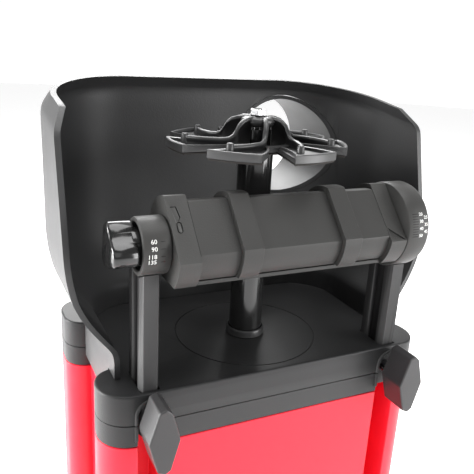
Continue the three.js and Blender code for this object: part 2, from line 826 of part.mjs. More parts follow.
function buildHousing() {
  for (const [side, sign] of [["left", -1], ["right", 1]]) {
    ["front", "rear"].forEach((end, i) => {
      const footAt = [sign * FOOT_X, FOOT_Y[i], 0];
      const ledgeAt = [sign * LEDGE_X, LEDGE_Y[i], BRACKET_Z];
      const bracketScrew = screw(3.6, BRACKET_T + GAP, BRACKET_T + 2.4, 1.6, -9.5, 12);
      place(`foot_${end}_${side}`, foot(), rubber, root, footAt);
      place(`foot_screw_${end}_${side}`, screw(3.8, 1, 2.7, 1.8, 19, 16), steel, root, footAt);
      place(`bracket_screw_${end}_${side}`, bracketScrew, steel, root, ledgeAt);
    });
  }
  place("base_plate", basePlate(), satinBlack);
  place("housing", housing(), housingRed);
  place("cap_lower_ring", capLowerRing(), capBlack);
  place("cap_top", capTop(), capBlack);
  place("hood", hood(), hoodBlack);
  place("dust_port", dustPort(), hoodBlack);
  place("switch_bezel", switchBezel(), satinBlack);
  place("switch_rocker", switchRocker(), glossBlack, root, [0, -43.5, SWITCH_Z]);
  place("power_inlet", powerInlet(), satinBlack);
  const boardRear = REAR_FACE - WALL - GAP;
  place("control_board", block(-26, 26, boardRear - 1.6, boardRear, 49, 77), circuitGreen);
}

function buildDrive() {
  const axis = [0, SPINDLE_Y, 0];
  const seal = tube(SPINDLE_R + 0.4, 8.7, CAP_TOP + GAP, CAP_TOP + 3.6, 28);
  const upperBearing = bearing(SPINDLE_R, BEARING_R, CAP_TOP - 12, CAP_TOP - 5);
  const lowerBearing = bearing(SHAFT_R, 9, BRACKET_Z, BRACKET_Z + BRACKET_T);
  const rotor = tube(SHAFT_R + GAP, MOTOR_R - 4.5, MOTOR_Z + 9, MOTOR_Z + MOTOR_H - 8);
  place("spindle_seal", seal, satinBlack, root, axis);
  place("upper_bearing", upperBearing, steel, root, axis);
  place("lower_bearing", lowerBearing, steel, root, axis);
  place("motor_bracket", motorBracket(), steel);
  place("motor_can", motorCan(), motorGrey);
  place("motor_rotor", rotor, steel, root, axis);
  place("spindle", spindle(), glossBlack);
  place("fan_disc", fanDisc(), satinBlack);
  place("abrasive_disc", abrasiveDisc(), abrasive);
  place("arbor_nut", arborNut(), steel, root, [0, SPINDLE_Y, CAP_TOP + FAN_HUB_Z + GAP]);
}

buildHousing();
buildDrive();
buildGuide();

export default root;
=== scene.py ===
"""Looks of the bench honing station: detailed pieces, materials, lights and camera round the CAD frame.

Shapes are drawn in the part's own millimetres: x right, y back, z up, with y = 0 between the body's
front and rear columns. solid() turns them into the frame's metres.
"""

import json
import math

import bmesh
import bpy
from mathutils import Matrix, Vector


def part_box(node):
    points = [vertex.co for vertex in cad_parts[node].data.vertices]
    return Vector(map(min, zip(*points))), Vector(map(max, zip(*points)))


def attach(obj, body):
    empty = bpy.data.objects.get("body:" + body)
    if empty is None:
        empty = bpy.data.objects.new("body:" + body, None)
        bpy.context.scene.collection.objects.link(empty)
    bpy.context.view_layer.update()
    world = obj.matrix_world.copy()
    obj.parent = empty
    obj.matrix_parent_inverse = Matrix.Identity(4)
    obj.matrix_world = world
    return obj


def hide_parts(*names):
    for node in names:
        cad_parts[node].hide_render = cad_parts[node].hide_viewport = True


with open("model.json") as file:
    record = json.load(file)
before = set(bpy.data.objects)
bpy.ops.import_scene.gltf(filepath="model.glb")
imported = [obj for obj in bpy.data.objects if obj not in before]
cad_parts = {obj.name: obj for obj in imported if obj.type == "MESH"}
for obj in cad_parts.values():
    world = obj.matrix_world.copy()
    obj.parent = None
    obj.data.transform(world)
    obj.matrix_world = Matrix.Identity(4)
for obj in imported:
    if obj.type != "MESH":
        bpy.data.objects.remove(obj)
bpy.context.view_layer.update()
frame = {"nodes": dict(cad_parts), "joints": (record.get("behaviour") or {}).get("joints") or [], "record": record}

MM = 0.001
JOINTS = {j["name"]: j for j in frame["joints"]}
SLOT_OF = {s["node"]: s["material_slot"] for s in frame["record"]["subparts"]}
BODY_OF = {n: b for b, nodes in frame["record"]["behaviour"]["bodies"].items() for n in nodes}

SPINDLE_Y = -8.8
SHIFT = JOINTS["spindle_spin"]["pos_m"][1] / MM - SPINDLE_Y
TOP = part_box("cap_top")[1].z / MM
PIVOT = JOINTS["rest_tilt"]["pos_m"]
REST_Y = PIVOT[1] / MM - SHIFT
REST_Z = PIVOT[2] / MM
CLAMP_Z = TOP - 11


def box_mm(node):
    """A node's lowest and highest corner in the part's own millimetres."""
    low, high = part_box(node)
    return [Vector((p.x / MM, p.y / MM - SHIFT, p.z / MM)) for p in (low, high)]


# ---------------------------------------------------------------- shapes
def arc(cx, cy, r, start, end, steps):
    """Points on a circle from one angle to another, in degrees, both ends included."""
    angles = [math.radians(start + (end - start) * i / steps) for i in range(steps + 1)]
    return [(cx + r * math.cos(a), cy + r * math.sin(a)) for a in angles]


def turned(profile, steps=64, closed=False):
    """A profile of (radius, height) turned about the Z axis."""
    verts, faces = [], []
    rows = len(profile)
    for r, z in profile:
        for k in range(steps):
            a = 2 * math.pi * k / steps
            verts.append((r * math.cos(a), r * math.sin(a), z))
    for i in range(rows if closed else rows - 1):
        j = (i + 1) % rows
        for k in range(steps):
            m = (k + 1) % steps
            faces.append((i * steps + k, i * steps + m, j * steps + m, j * steps + k))
    return verts, faces


def rod_profile(radius, low, high):
    """The profile of a plain cylinder for turned()."""
    return [(0, low), (radius, low), (radius, high), (0, high)]


def prism(outline, low, high):
    """A flat outline in x and y, raised from one height to another."""
    n = len(outline)
    verts = [(x, y, low) for x, y in outline] + [(x, y, high) for x, y in outline]
    faces = [tuple(reversed(range(n))), tuple(range(n, 2 * n))]
    faces += [(i, (i + 1) % n, n + (i + 1) % n, n + i) for i in range(n)]
    return verts, faces


def loft(rows, ring=True, caps=True):
    """Quads between rows of points; each row is a closed ring if ring is true."""
    n = len(rows[0])
    verts = [p for row in rows for p in row]
    faces = []
    for i in range(len(rows) - 1):
        for k in range(n if ring else n - 1):
            m = (k + 1) % n
            faces.append((i * n + k, i * n + m, (i + 1) * n + m, (i + 1) * n + k))
    if caps:
        faces.append(tuple(reversed(range(n))))
        faces.append(tuple(range((len(rows) - 1) * n, len(rows) * n)))
    return verts, faces


def box_shape(x0, x1, y0, y1, z0, z1):
    return prism([(x0, y0), (x1, y0), (x1, y1), (x0, y1)], z0, z1)


def along_x(shape):
    """Turns a shape drawn in (y, z, x) order so that its height runs along X."""
    return [(z, x, y) for x, y, z in shape[0]], shape[1]


def along_y(shape):
    """Turns a shape drawn in (x, z, y) order so that its height runs along Y."""
    return [(x, z, y) for x, y, z in shape[0]], [tuple(reversed(f)) for f in shape[1]]


def shifted(shape, dx=0, dy=0, dz=0):
    return [(x + dx, y + dy, z + dz) for x, y, z in shape[0]], shape[1]


def on_spindle(shape, height=0):
    return shifted(shape, dy=SPINDLE_Y, dz=height)


def on_rest_axis(shape):
    """Turns a shape drawn in (y, z, x) order along X and centres it on the rest's axis."""
    return shifted(along_x(shape), 0, REST_Y, REST_Z)


def merged(*shapes):
    verts, faces = [], []
    for v, f in shapes:
        base = len(verts)
        verts += v
        faces += [tuple(i + base for i in face) for face in f]
    return verts, faces


# ---------------------------------------------------------------- pieces
def solid(name, shape):
    """An object in the row frame from a shape in part millimetres."""
    mesh = bpy.data.meshes.new(name)
    mesh.from_pydata([(x * MM, (y + SHIFT) * MM, z * MM) for x, y, z in shape[0]], [], shape[1])
    bm = bmesh.new()
    bm.from_mesh(mesh)
    bmesh.ops.remove_doubles(bm, verts=bm.verts, dist=1e-6)
    bmesh.ops.dissolve_degenerate(bm, edges=bm.edges, dist=1e-7)
    bmesh.ops.recalc_face_normals(bm, faces=bm.faces)
    bm.to_mesh(mesh)
    bm.free()
    obj = bpy.data.objects.new(name, mesh)
    bpy.context.scene.collection.objects.link(obj)
    return obj


def carve(obj, *cutters, operation="DIFFERENCE"):
    """Cuts the cutters out of obj, or joins them to it, and leaves a plain mesh."""
    for shape in cutters:
        tool = solid("cutter", shape)
        mod = obj.modifiers.new("cut", "BOOLEAN")
        mod.operation = operation
        mod.solver = "EXACT"
        mod.object = tool
        graph = bpy.context.evaluated_depsgraph_get()
        mesh = bpy.data.meshes.new_from_object(obj.evaluated_get(graph))
        obj.modifiers.clear()
        old = obj.data
        obj.data = mesh
        bpy.data.meshes.remove(old)
        tool_mesh = tool.data
        bpy.data.objects.remove(tool)
        bpy.data.meshes.remove(tool_mesh)
    return obj


def round_edges(obj, width, segments=3, limit=30):
    """A bevel on the edges sharper than the limit, with clean shading."""
    bevel = obj.modifiers.new("edges", "BEVEL")
    bevel.width = width * MM
    bevel.segments = segments
    bevel.limit_method = "ANGLE"
    bevel.angle_limit = math.radians(limit)
    bevel.miter_outer = "MITER_ARC"
    bevel.use_clamp_overlap = True
    bevel.harden_normals = True
    return obj


def finish_piece(obj, node, bevel=0.0, segments=3, limit=30, smooth=30, replaces=None, material=None):
    """Shades a piece, gives it its node's body and material, and hides the nodes that it replaces."""
    obj.data.polygons.foreach_set("use_smooth", [True] * len(obj.data.polygons))
    obj.data.set_sharp_from_angle(angle=math.radians(smooth))
    if bevel:
        round_edges(obj, bevel, segments, limit)
    slot = material or SLOT_OF[node]
    obj.data.materials.clear()
    obj.data.materials.append(MATERIALS[slot])
    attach(obj, BODY_OF[node])
    for name in [node] if replaces is None else replaces:
        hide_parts(name)
    return obj


# ---------------------------------------------------------------- materials
def surface(name, color, roughness, metallic=0.0, grain=1400.0, bump=0.05, vary=0.12, rough_vary=0.08,
            wear_and_sheen=0.0, wear_and_sheen_color=(0.5, 0.5, 0.5), coat=0.0, stretch=(1, 1, 1), specular=0.5):
    """A moulded, painted or machined surface: fine grain, slow colour drift, and sharp edges lightened as wear and
    painted highlight.
    """
    mat = bpy.data.materials.new(name)
    mat.use_nodes = True
    nodes, links = mat.node_tree.nodes, mat.node_tree.links
    shader = nodes["Principled BSDF"]
    shader.inputs["Metallic"].default_value = metallic
    shader.inputs["Coat Weight"].default_value = coat
    shader.inputs["Coat Roughness"].default_value = 0.12
    shader.inputs["Specular IOR Level"].default_value = specular
    coords = nodes.new("ShaderNodeTexCoord")
    mapping = nodes.new("ShaderNodeMapping")
    mapping.inputs["Scale"].default_value = stretch
    links.new(coords.outputs["Object"], mapping.inputs["Vector"])

    fine = nodes.new("ShaderNodeTexNoise")
    fine.inputs["Scale"].default_value = grain
    fine.inputs["Detail"].default_value = 3.0
    links.new(mapping.outputs["Vector"], fine.inputs["Vector"])
    slow = nodes.new("ShaderNodeTexNoise")
    slow.inputs["Scale"].default_value = 34.0
    slow.inputs["Detail"].default_value = 5.0
    links.new(mapping.outputs["Vector"], slow.inputs["Vector"])

    relief = nodes.new("ShaderNodeBump")
    relief.inputs["Strength"].default_value = bump
    relief.inputs["Distance"].default_value = 0.0004
    links.new(fine.outputs["Fac"], relief.inputs["Height"])
    links.new(relief.outputs["Normal"], shader.inputs["Normal"])

    tint = nodes.new("ShaderNodeMix")
    tint.data_type = "RGBA"
    tint.inputs["A"].default_value = (*[c * (1 - vary) for c in color], 1)
    tint.inputs["B"].default_value = (*[min(1, c * (1 + vary)) for c in color], 1)
    links.new(slow.outputs["Fac"], tint.inputs["Factor"])
    out = tint.outputs["Result"]
    # Sharp edges, found by pointiness, are mixed towards a lighter colour: partly wear, partly a painted edge
    # highlight.
    if wear_and_sheen:
        shape = nodes.new("ShaderNodeNewGeometry")
        ramp = nodes.new("ShaderNodeMapRange")
        ramp.inputs["From Min"].default_value = 0.52
        ramp.inputs["From Max"].default_value = 0.60
        ramp.inputs["To Max"].default_value = wear_and_sheen
        links.new(shape.outputs["Pointiness"], ramp.inputs["Value"])
        edge = nodes.new("ShaderNodeMix")
        edge.data_type = "RGBA"
        edge.inputs["B"].default_value = (*wear_and_sheen_color, 1)
        links.new(ramp.outputs["Result"], edge.inputs["Factor"])
        links.new(out, edge.inputs["A"])
        out = edge.outputs["Result"]
    links.new(out, shader.inputs["Base Color"])

    rough = nodes.new("ShaderNodeMapRange")
    rough.inputs["To Min"].default_value = max(0.02, roughness - rough_vary)
    rough.inputs["To Max"].default_value = roughness + rough_vary
    links.new(slow.outputs["Fac"], rough.inputs["Value"])
    links.new(rough.outputs["Result"], shader.inputs["Roughness"])
    return mat


# The edge settings lighten each material's sharp edges: partly wear, partly a painted edge highlight.
MATERIALS = {
    "housing_red": surface("housing_red", (0.84, 0.012, 0.034), 0.36, grain=900, bump=0.03, vary=0.05,
                           wear_and_sheen=0.12, wear_and_sheen_color=(0.95, 0.2, 0.22), specular=0.22),
    "cap_black": surface("cap_black", (0.016, 0.016, 0.0165), 0.44, grain=1500, bump=0.12, vary=0.12,
                         wear_and_sheen=0.2, wear_and_sheen_color=(0.12, 0.12, 0.12), specular=0.3),
    "hood_black": surface("hood_black", (0.018, 0.018, 0.0185), 0.48, grain=1300, bump=0.16, vary=0.12,
                          wear_and_sheen=0.12, wear_and_sheen_color=(0.1, 0.1, 0.1)),
    "guide_grey": surface("guide_grey", (0.029, 0.0285, 0.0275), 0.44, grain=1800, bump=0.14, vary=0.12,
                          wear_and_sheen=0.3, wear_and_sheen_color=(0.16, 0.16, 0.155), specular=0.25),
    "post_grey": surface("post_grey", (0.011, 0.0105, 0.011), 0.4, grain=1500, bump=0.08, vary=0.1,
                         wear_and_sheen=0.3, wear_and_sheen_color=(0.2, 0.2, 0.2), stretch=(1, 1, 0.06), specular=0.14),
    "knob_grey": surface("knob_grey", (0.019, 0.018, 0.019), 0.36, grain=1400, bump=0.1, vary=0.1,
                         wear_and_sheen=0.25, wear_and_sheen_color=(0.2, 0.2, 0.2), specular=0.4),
    "gloss_black": surface("gloss_black", (0.008, 0.008, 0.008), 0.16, grain=600, bump=0.015, vary=0.1,
                           rough_vary=0.04, wear_and_sheen=0.1, wear_and_sheen_color=(0.1, 0.1, 0.1), coat=0.25),
    "satin_black": surface("satin_black", (0.012, 0.012, 0.0125), 0.34, grain=1200, bump=0.06, vary=0.1,
                           wear_and_sheen=0.25, wear_and_sheen_color=(0.14, 0.14, 0.14)),
    "steel": surface("steel", (0.62, 0.62, 0.63), 0.28, metallic=1.0, grain=700, bump=0.05, vary=0.06,
                     stretch=(1, 1, 12)),
    "motor_grey": surface("motor_grey", (0.5, 0.51, 0.52), 0.38, metallic=0.9, grain=500, bump=0.04),
    "rubber": surface("rubber", (0.016, 0.016, 0.016), 0.78, grain=1600, bump=0.25, vary=0.2, specular=0.3),
    "abrasive": surface("abrasive", (0.035, 0.032, 0.03), 0.9, grain=2600, bump=0.9, vary=0.35, specular=0.3),
    "circuit_board": surface("circuit_board", (0.02, 0.17, 0.07), 0.35, grain=900, bump=0.03, vary=0.2),
    "engraved": surface("engraved", (0.006, 0.006, 0.006), 0.6, grain=1800, bump=0.1, specular=0.2),
    "print_white": surface("print_white", (0.82, 0.82, 0.8), 0.5, grain=2500, bump=0.02, vary=0.06),
}
for node, obj in frame["nodes"].items():
    obj.data.materials.clear()
    obj.data.materials.append(MATERIALS[SLOT_OF[node]])


# ---------------------------------------------------------------- body: housing, ring and cap
BODY_HALF = box_mm("housing")[1].x
FRONT, REAR = box_mm("housing")[0].y, box_mm("housing")[1].y
CORNER_R = 12.3
COLUMN_R = 9.5
SIDE_FACE = 64.6
REAR_FACE = 38.1
RECESS_FRONT, RECESS_REAR = -21.4, 22.6
REAR_RECESS_X = 51
POST_X = (box_mm("post_right")[0].x + box_mm("post_right")[1].x) / 2
CHANNEL_HALF = 5.25
CHANNEL_REAR = -26.5
WALL = 3
EDGE_R = 3.0
SOCKET_HALF = 3.9
SOCKET_FRONT, SOCKET_REAR = -43.1, -26.7
BOSS_BORE = 8.5
ARCH_RIM = 3.6
LIP_RISE = 0.7


def body_outline(channels=True):
    """Plan of the body: four round columns, recessed sides and rear, and the two post channels."""
    x = BODY_HALF
    points = []
    if channels:
        for middle in (-POST_X, POST_X):
            points += [(middle - CHANNEL_HALF, FRONT), (middle - CHANNEL_HALF, CHANNEL_REAR),
                       (middle + CHANNEL_HALF, CHANNEL_REAR), (middle + CHANNEL_HALF, FRONT)]
    points += arc(x - CORNER_R, FRONT + CORNER_R, CORNER_R, -90, 0, 16)
    points += arc(x - COLUMN_R, RECESS_FRONT - COLUMN_R, COLUMN_R, 0, 90, 12)
    points += [(SIDE_FACE, RECESS_FRONT), (SIDE_FACE, RECESS_REAR)]
    points += arc(x - COLUMN_R, RECESS_REAR + COLUMN_R, COLUMN_R, -90, 0, 12)
    points += arc(x - CORNER_R, REAR - CORNER_R, CORNER_R, 0, 90, 16)
    points += [(REAR_RECESS_X, REAR), (REAR_RECESS_X, REAR_FACE)]
    points += [(-REAR_RECESS_X, REAR_FACE), (-REAR_RECESS_X, REAR)]
    points += arc(-x + CORNER_R, REAR - CORNER_R, CORNER_R, 90, 180, 16)
    points += arc(-x + COLUMN_R, RECESS_REAR + COLUMN_R, COLUMN_R, 180, 270, 12)
    points += [(-SIDE_FACE, RECESS_REAR), (-SIDE_FACE, RECESS_FRONT)]
    points += arc(-x + COLUMN_R, RECESS_FRONT - COLUMN_R, COLUMN_R, 90, 180, 12)
    points += arc(-x + CORNER_R, FRONT + CORNER_R, CORNER_R, 180, 270, 16)
    return points


def cavity_outline():
    """Plan of the hollow inside the body's walls."""
    side, rear = SIDE_FACE - WALL, REAR_FACE - WALL
    channel_side, channel_back = POST_X - CHANNEL_HALF - WALL, CHANNEL_REAR + WALL
    front = FRONT + WALL
    return [(-channel_side, front), (channel_side, front), (channel_side, channel_back), (side, channel_back),
            (side, rear), (-side, rear), (-side, channel_back), (-channel_side, channel_back)]


def make_body():
    low, high = box_mm("housing")
    switch_opening = box_shape(-12.3, 12.3, FRONT - 1, FRONT + 5, 38.2, 57.8)
    inlet_opening = box_shape(-14.3, 14.3, REAR_FACE - 5, REAR_FACE + 1, 22.7, 45.3)
    vents = [box_shape(-32, 32, REAR_FACE - 5, REAR_FACE + 1, z, z + 4) for z in range(84, 128, 9)]
    housing = carve(
        solid("housing_shell", prism(body_outline(), low.z, high.z)),
        prism(cavity_outline(), low.z - 1, high.z + 1),
        switch_opening,
        inlet_opening,
        *vents,
    )
    finish_piece(housing, "housing", bevel=0.5, segments=2)
    low, high = box_mm("cap_lower_ring")
    ring = carve(
        solid("cap_ring", prism(body_outline(), low.z, high.z)),
        prism(cavity_outline(), low.z - 1, high.z + 1),
    )
    finish_piece(ring, "cap_lower_ring", bevel=0.35, segments=2)


def channel_arch_z():
    """Height of the middle of the round ends of the post channels."""
    return box_mm("cap_top")[1].z - ARCH_RIM - CHANNEL_HALF


def make_cap():
    low, high = box_mm("cap_top")
    cap = solid("cap_cover", prism(body_outline(False), low.z, high.z))
    bm = bmesh.new()
    bm.from_mesh(cap.data)
    top = [e for e in bm.edges if all(v.co.z > (high.z - 0.01) * MM for v in e.verts)]
    bmesh.ops.bevel(bm, geom=top, offset=EDGE_R * MM, segments=7, profile=0.5, affect="EDGES",
                    clamp_overlap=True)
    bm.to_mesh(cap.data)
    bm.free()
    cuts = []
    for middle in (-POST_X, POST_X):
        arch = [(middle - CHANNEL_HALF, low.z - 1), (middle + CHANNEL_HALF, low.z - 1)]
        arch += arc(middle, channel_arch_z(), CHANNEL_HALF, 0, 180, 24)
        cuts.append(along_y(prism(arch, FRONT - 2, CHANNEL_REAR)))
        cuts.append(box_shape(middle - SOCKET_HALF, middle + SOCKET_HALF, SOCKET_FRONT, SOCKET_REAR,
                              low.z + 1, high.z + 1))
    cuts.append(on_spindle(turned(rod_profile(BOSS_BORE, low.z - 1, high.z + 1), 48)))
    cuts.append(prism(cavity_outline(), low.z - 1, high.z - WALL))
    line = [(31.9, high.z - 0.35), (32.5, high.z - 0.35), (32.5, high.z + 1), (31.9, high.z + 1)]
    cuts.append(on_spindle(turned(line, 96, closed=True)))
    carve(cap, *cuts)
    finish_piece(cap, "cap_top", bevel=0.3, segments=2, limit=40)
    section = [
        (BOSS_BORE, high.z - 4.6), (17, high.z - 4.6), (17, low.z), (14.4, low.z), (14.4, high.z - 4.9),
        (BOSS_BORE, high.z - 4.9),
    ]
    boss = solid("cap_boss", on_spindle(turned(section, 48, closed=True)))
    finish_piece(boss, "cap_top", replaces=[])


def make_lips():
    """The raised moulded rim round the end of each channel, split at the parting line."""
    part = box_mm("cap_top")[0].z
    ring_low = box_mm("cap_lower_ring")[0].z
    inner, outer = CHANNEL_HALF, CHANNEL_HALF + 1.4
    section = [
        (inner, FRONT + 0.4), (inner, FRONT - 0.35), (inner + 0.3, FRONT - LIP_RISE),
        (outer - 0.35, FRONT - LIP_RISE), (outer, FRONT - 0.35), (outer, FRONT + 0.4),
    ]
    stations = [(1.0, 0.0, part + 0.05)]
    stations += [(*point, channel_arch_z()) for point in arc(0, 0, 1, 0, 180, 28)]
    stations += [(-1.0, 0.0, part + 0.05)]
    for side, middle in (("left", -POST_X), ("right", POST_X)):
        rows = [[(middle + r * c, y, z + r * s) for r, y in section] for c, s, z in stations]
        lip = solid(f"channel_lip_{side}", loft(rows))
        finish_piece(lip, "cap_top", replaces=[], smooth=50)
        for end, sign in (("a", -1), ("b", 1)):
            x0, x1 = sorted((middle + sign * inner, middle + sign * outer))
            shape = box_shape(x0, x1, FRONT - LIP_RISE, FRONT + 0.4, ring_low + 2.6, part - 0.35)
            bar = solid(f"ring_lip_{side}_{end}", shape)
            finish_piece(bar, "cap_lower_ring", replaces=[], bevel=0.3, segments=3)


# ---------------------------------------------------------------- hood and dust port
HOOD_HALF = box_mm("hood")[1].x
HOOD_REAR = box_mm("hood")[1].y
HOOD_CORNER = 45
HOOD_T = 2.3
HOOD_RISE = 0.147
PORT_HOLE_R = 27.2
# Each level: height over the cap, step in from the widest plan, y of the front edge, slope to the rear
HOOD_LEVELS = [
    (0.3, 16.8, -31, 0), (8.5, 16.8, -31, 0), (11.5, 16.2, -30, 0), (19, 9.9, -28.5, 0), (25, 5.7, -27.5, 0),
    (32, 2.4, -26.8, 0), (40, 0.7, -26.5, 0), (47, 0, -25.8, 0), (94, 0, -13.8, HOOD_RISE),
    (101.7, 4, -3.9, HOOD_RISE),
]
SKIRT_STEP = HOOD_LEVELS[0][1]


def rounded_levels(levels, reach):
    """Softens each inner level into a short curve."""
    result = [levels[0]]
    for before, here, after in zip(levels, levels[1:], levels[2:]):
        ends = []
        for other in (before, after):
            length = math.dist(here[:3], other[:3])
            share = min(reach / length, 0.45)
            ends.append([h + (o - h) * share for h, o in zip(here, other)])
        for i in range(5):
            t = i / 4
            result.append([a * (1 - t) ** 2 + 2 * h * t * (1 - t) + b * t * t
                           for a, h, b in zip(ends[0], here, ends[1])])
    result.append(levels[-1])
    return result


def hood_row(level, inset):
    """One level's U-shaped plan, open at the front and moved in by the inset."""
    height, step, front, slope = level
    x = HOOD_HALF - step - inset
    r = HOOD_CORNER - step - inset
    centre_x, centre_y = HOOD_HALF - HOOD_CORNER, HOOD_REAR - HOOD_CORNER
    half = [(x, front + (centre_y - front) * i / 4) for i in range(4)]
    half += arc(centre_x, centre_y, r, 0, 90, 20)
    half += [(centre_x * (1 - i / 6), centre_y + r) for i in range(1, 6)]
    plan = half + [(0, centre_y + r)] + [(-px, py) for px, py in reversed(half)]
    return [(px, py, TOP + height + slope * (py - front)) for px, py in plan]


def make_hood():
    levels = rounded_levels(HOOD_LEVELS, 3.0)
    outer = [hood_row(level, 0) for level in levels]
    inner = [hood_row(level, HOOD_T) for level in levels]
    rows = outer + inner[::-1]
    rows.append(rows[0])
    verts, faces = loft(rows, ring=False, caps=False)
    n, count = len(outer[0]), len(outer)
    for i in range(count - 1):
        a, b = i * n, (i + 1) * n
        c, d = (2 * count - 2 - i) * n, (2 * count - 1 - i) * n
        faces.append((a, b, c, d))
        faces.append((a + n - 1, d + n - 1, c + n - 1, b + n - 1))
    hood = solid("hood_shell", (verts, faces))
    skirt_x, skirt_y = HOOD_HALF - SKIRT_STEP, HOOD_REAR - SKIRT_STEP
    low = box_mm("hood")[0].z
    front, rear = RECESS_FRONT + 0.3, RECESS_REAR - 0.3
    port = box_mm("dust_port")
    middle = (port[0] + port[1]) / 2
    carve(hood,
          box_shape(skirt_x - HOOD_T, skirt_x, front, rear, low, TOP + 2),
          box_shape(-skirt_x, HOOD_T - skirt_x, front, rear, low, TOP + 2),
          box_shape(0.3 - REAR_RECESS_X, REAR_RECESS_X - 0.3, skirt_y - HOOD_T, skirt_y, low, TOP + 2),
          operation="UNION")
    hole = turned(rod_profile(PORT_HOLE_R, 10, 100), 72)
    carve(hood, along_y(shifted(hole, middle.x, middle.z)))
    finish_piece(hood, "hood", bevel=0.7, segments=3, limit=45, smooth=35)

    wall = [
        (25.1, 20), (26.9, 20), (26.9, 80.5), (28.2, 81.2), (28.5, 82), (28.5, 83.3), (28.2, 84),
        (26.9, 84.4), (26.9, 85.4), (26.5, 86), (25.5, 86), (25.1, 85.6),
    ]
    pipe = solid("port_pipe", along_y(shifted(turned(wall, 96, closed=True), middle.x, middle.z)))
    carve(pipe, loft(inner))
    finish_piece(pipe, "dust_port", bevel=0.3, segments=2, limit=45)


# ---------------------------------------------------------------- spindle and disc
BLADES = 7
FIRST_PEG = 172.6
FEET = [FIRST_PEG + 360 / BLADES * i for i in range(BLADES)]
BLADE_SPAN = (-10, 22)
BLADE_SWEEP = 15
BLADE_LENGTH = 24
DISC_R = 38.1
DISC_Z = 86.2
HUB_R = 6.5
HUB_FOOT_Z = 95.4
# The middle of a wall's top: radius, turn from the wall's peg in degrees, height over the cap
RIB_PATH = [
    (2.5, 45, 99.1), (6.3, 43, 99.1), (6.7, 42, 99.1), (8.5, 40, 98.9), (11, 37, 98.1), (12.8, 34.5, 96.6),
    (14, 32.5, 94.4), (15.2, 30.5, 92.4), (17, 28, 91.4), (20, 23, 91.1), (24.5, 13.5, 91), (28, 6, 90.9),
    (31, 0, 90.8),
]
# Across a wall and down from its top; None is the wall's foot
RIB_SECTION = [
    (0.6, None), (0.6, 1.9), (0.95, 1.5), (1.05, 0.9), (0.85, 0.3), (0.4, 0), (-0.4, 0), (-0.85, 0.3),
    (-1.05, 0.9), (-0.95, 1.5), (-0.6, 1.9), (-0.6, None),
]


def swept(r):
    """How far round a blade's ends are at a radius, in degrees from where they are at the rim."""
    return BLADE_SWEEP * (DISC_R - r) / BLADE_LENGTH


def polar(r, degrees, z):
    a = math.radians(degrees)
    return Vector((r * math.cos(a), r * math.sin(a), z))


def rib_shape(foot):
    """One curved wall from the hub to the rim, with a narrow rounded bead along its top."""
    points = [polar(r, foot + turn, z) for r, turn, z in RIB_PATH]
    rows = []
    for i, p in enumerate(points):
        along = points[min(i + 1, len(points) - 1)] - points[max(i - 1, 0)]
        side = Vector((-along.y, along.x, 0)).normalized()
        tilt = min(1.0, Vector((along.x, along.y)).length / along.length + 0.35)
        row = []
        foot_z = DISC_Z + 1.0 if Vector((p.x, p.y)).length > HUB_R else HUB_FOOT_Z
        for across, below in RIB_SECTION:
            q = p + side * across
            z = foot_z if below is None else p.z - below / tilt
            row.append((q.x, q.y, z))
        rows.append(row)
    return loft(rows)


def blade_rows(foot, section):
    """Ring sector with swept ends: a section of (radius, height) led round from one end to the other."""
    rows = []
    start, stop = BLADE_SPAN
    for i in range(15):
        row = []
        for r, h in section:
            p = polar(r, foot + start + (stop - start) * i / 14 + swept(r), DISC_Z + h)
            row.append((p.x, p.y, p.z))
        rows.append(row)
    return loft(rows)


def end_bead(foot, end):
    """The raised edge along one swept end of a blade."""
    rows = []
    for i in range(9):
        r = 15.5 + 21.8 * i / 8
        a = foot + end + swept(r)
        nudge = math.degrees(1.0 / r) * (1 if end < 0 else -1)
        near, far = polar(r, a, 0), polar(r, a + nudge, 0)
        crest = [n * 0.8 + f * 0.2 for n, f in zip(near.xy, far.xy)]
        top = DISC_Z + 2.5 + 0.6 * i / 8
        rows.append([
            (*near.xy, DISC_Z + 0.4), (*near.xy, top - 0.15), (*crest, top), (*far.xy, top - 0.1),
            (*far.xy, DISC_Z + 0.4),
        ])
    return loft(rows)


def make_disc():
    """Hub, walls and pegs as one piece, the blades as another."""
    hub = [(2.3, 95), (6.2, 95), (7.2, 96), (7.6, 97.4), (7.0, 98.4), (5.6, 98.8), (2.3, 98.8)]
    bore_ring = [
        (12.8, DISC_Z + 0.2), (15.8, DISC_Z + 0.2), (15.8, DISC_Z + 2.3), (14.9, DISC_Z + 2.6),
        (13.4, DISC_Z + 2.6), (12.8, DISC_Z + 2.3),
    ]
    parts = [turned(hub, 48, closed=True), turned(bore_ring, 72, closed=True)]
    for foot in FEET:
        parts.append(rib_shape(foot))
        peg = turned([(0, DISC_Z + 1), (1.5, DISC_Z + 1), (1.5, 91.0), (1.1, 91.6), (0, 91.6)], 24)
        p = polar(31.2, foot, 0)
        parts.append(shifted(peg, p.x, p.y))
    disc = solid("disc_spider", on_spindle(merged(*parts), TOP))
    finish_piece(disc, "fan_disc", smooth=50)
    tray = [
        (14.2, 0), (DISC_R, 0), (DISC_R, 2.9), (37.8, 3.2), (36.9, 3.2), (36.5, 2.8), (36.2, 1.6),
        (14.2, 1.5),
    ]
    trays = [blade_rows(foot, tray) for foot in FEET]
    beads = [end_bead(foot, end) for foot in FEET for end in BLADE_SPAN]
    blades = solid("disc_blades", on_spindle(merged(*trays, *beads), TOP))
    finish_piece(blades, "fan_disc", smooth=40)


def make_abrasive():
    """The working face: a pad under each blade and a ring that joins them."""
    low = box_mm("abrasive_disc")[0].z - TOP - DISC_Z
    pads = [blade_rows(foot, [(14.6, low), (37.4, low), (37.4, -0.3), (14.6, -0.3)]) for foot in FEET]
    ring = [(9.2, DISC_Z + low), (15.4, DISC_Z + low), (15.4, DISC_Z - 0.3), (9.2, DISC_Z - 0.3)]
    pads.append(turned(ring, 64, closed=True))
    pad = solid("abrasive_pads", on_spindle(merged(*pads), TOP))
    finish_piece(pad, "abrasive_disc", smooth=40)


